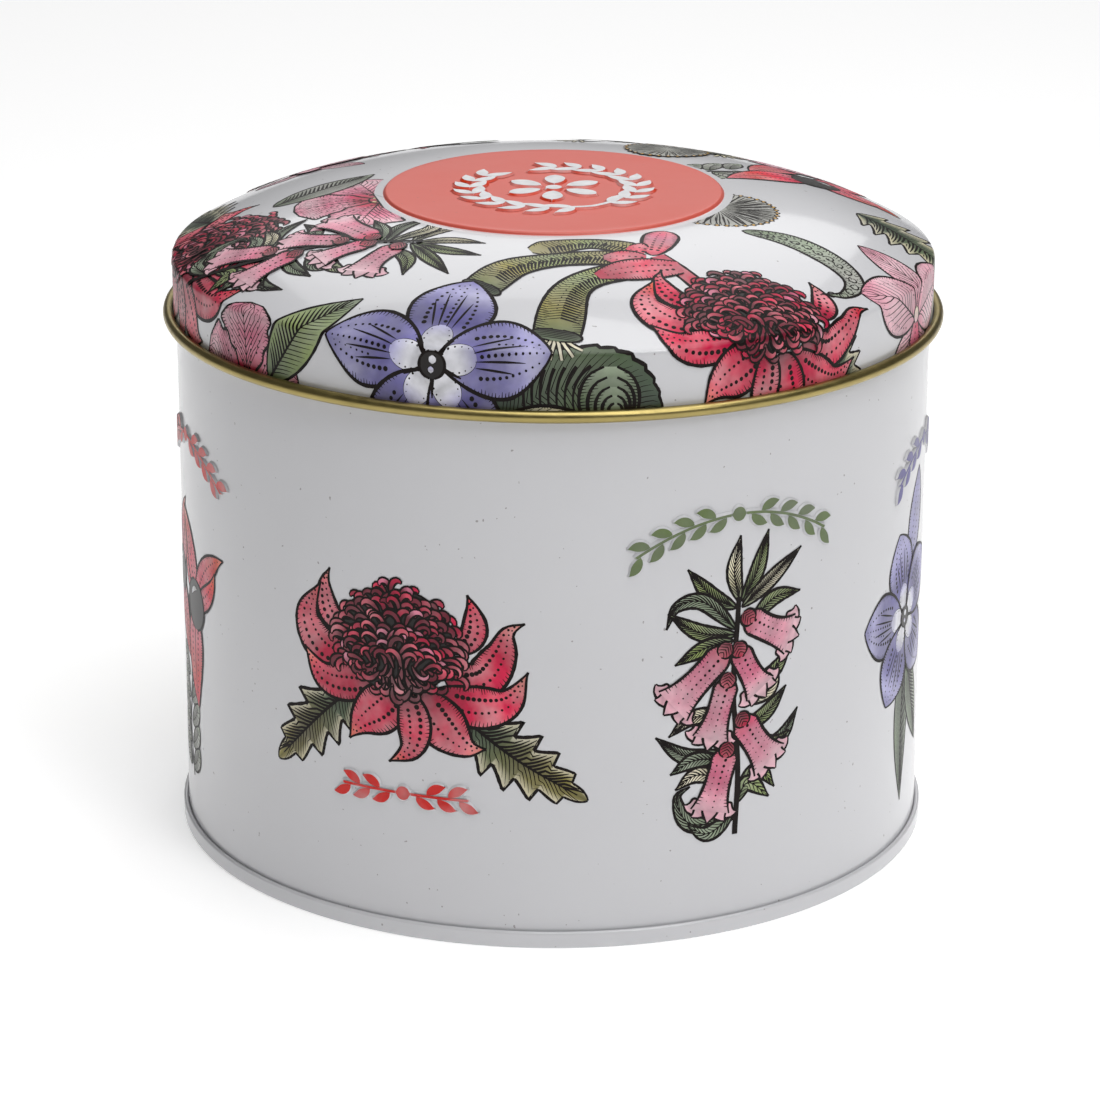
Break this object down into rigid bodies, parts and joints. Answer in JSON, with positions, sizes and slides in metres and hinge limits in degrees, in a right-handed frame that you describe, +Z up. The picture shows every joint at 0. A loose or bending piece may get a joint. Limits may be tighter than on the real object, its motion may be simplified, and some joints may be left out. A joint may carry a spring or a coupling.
{
  "type": "round slip-lid tin",
  "caption": "Round tinplate box with a domed slip-on lid and a double-seamed base, printed and embossed with flower emblems, for keeping biscuits, tea or sweets.",
  "frame": {"origin": "centre of the ring that the tin stands on", "axes": "+Z up along the tin's axis, -Y towards the viewer, +Y towards the back; the body's side seam is at the back, 67 degrees round from +X towards +Y"},
  "size_m": [0.1448, 0.1448, 0.1211],
  "materials": {
    "printed_tinplate": "gloss white enamel, printed and varnished",
    "white_enamel": "gloss",
    "printing_ink": "gloss, varnished over",
    "red_panel": "gloss, varnished over",
    "gold_lacquer": "clear gold lacquer over bright tinplate"
  },
  "bodies": {
    "tin": {"body_wall": "printed_tinplate", "base_end": "white_enamel"},
    "lid": {"lid": "printed_tinplate"}
  },
  "joints": [
    {"name": "lid_lift", "type": "slide", "parent": "tin", "child": "lid", "axis": [0, 0, 1], "range_m": [0, 0.12]}
  ]
}
